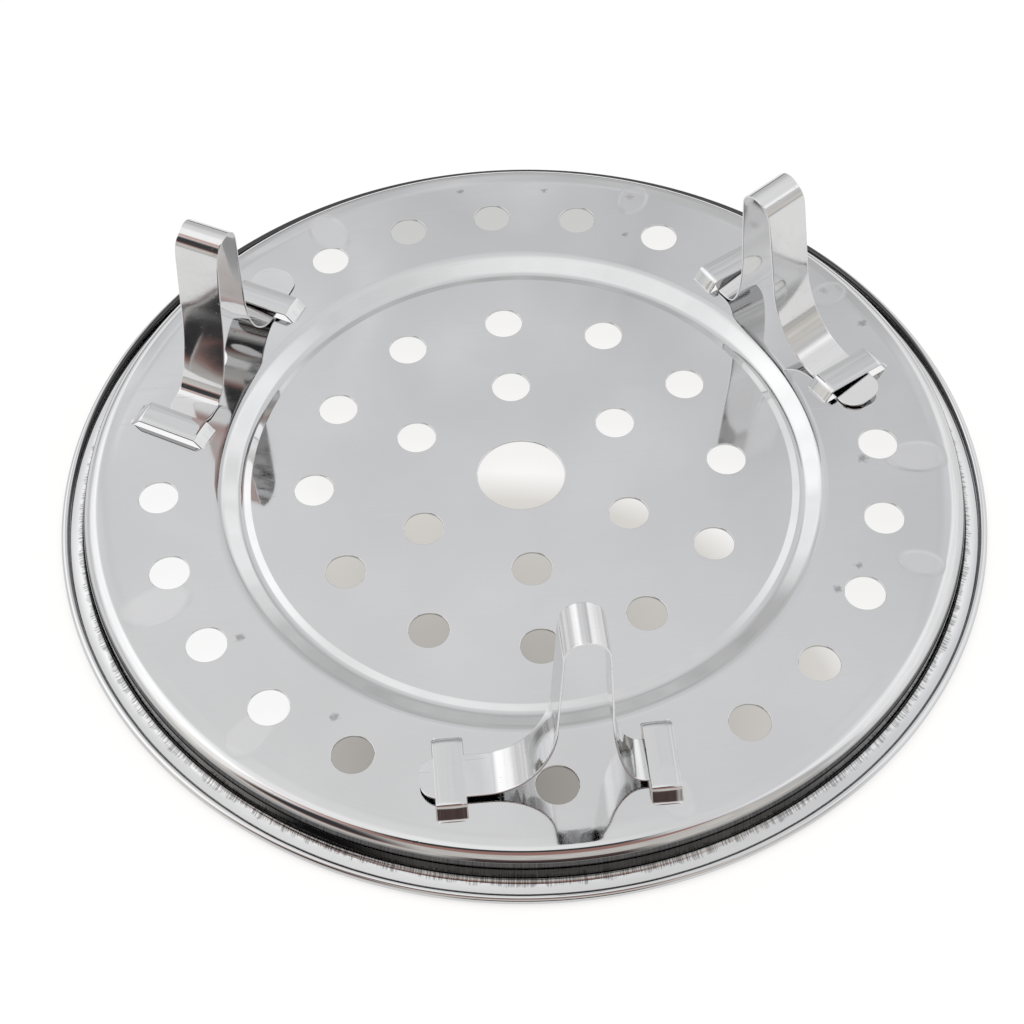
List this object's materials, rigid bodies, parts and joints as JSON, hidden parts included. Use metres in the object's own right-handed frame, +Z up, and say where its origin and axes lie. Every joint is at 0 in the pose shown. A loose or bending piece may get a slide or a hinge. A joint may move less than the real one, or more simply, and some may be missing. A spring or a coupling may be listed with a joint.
{
  "type": "steaming rack",
  "caption": "Round dished steel steaming plate with steam holes and a rolled rim, on bent strip legs that slide under strap loops; stored lying on its rim, legs up.",
  "frame": {"origin": "centre of the rim, in the plane of the rim flange's flat face that it lies on", "axes": "+Z up, from the rim to the legs' crowns: the rack lies upside down, as pictured, and is turned over for use; -Y towards the front leg"},
  "size_m": [0.24, 0.24, 0.0614],
  "materials": {
    "plate_steel": "bright rolled stainless sheet",
    "leg_steel": "polished stainless strip"
  },
  "bodies": {
    "plate": {"plate": "plate_steel"},
    "front_leg": {"front_leg": "leg_steel"},
    "right_leg": {"right_leg": "leg_steel"},
    "left_leg": {"left_leg": "leg_steel"}
  },
  "joints": [
    {"name": "front_leg_slide", "type": "slide", "parent": "plate", "child": "front_leg", "axis": [1, 0.007, 0], "range_m": [-0.0068, 0.0017]},
    {"name": "right_leg_slide", "type": "slide", "parent": "plate", "child": "right_leg", "axis": [-0.5165, 0.8563, 0], "range_m": [-0.0037, 0.0048]},
    {"name": "left_leg_slide", "type": "slide", "parent": "plate", "child": "left_leg", "axis": [-0.4446, -0.8957, 0], "range_m": [-0.0017, 0.0068]}
  ]
}
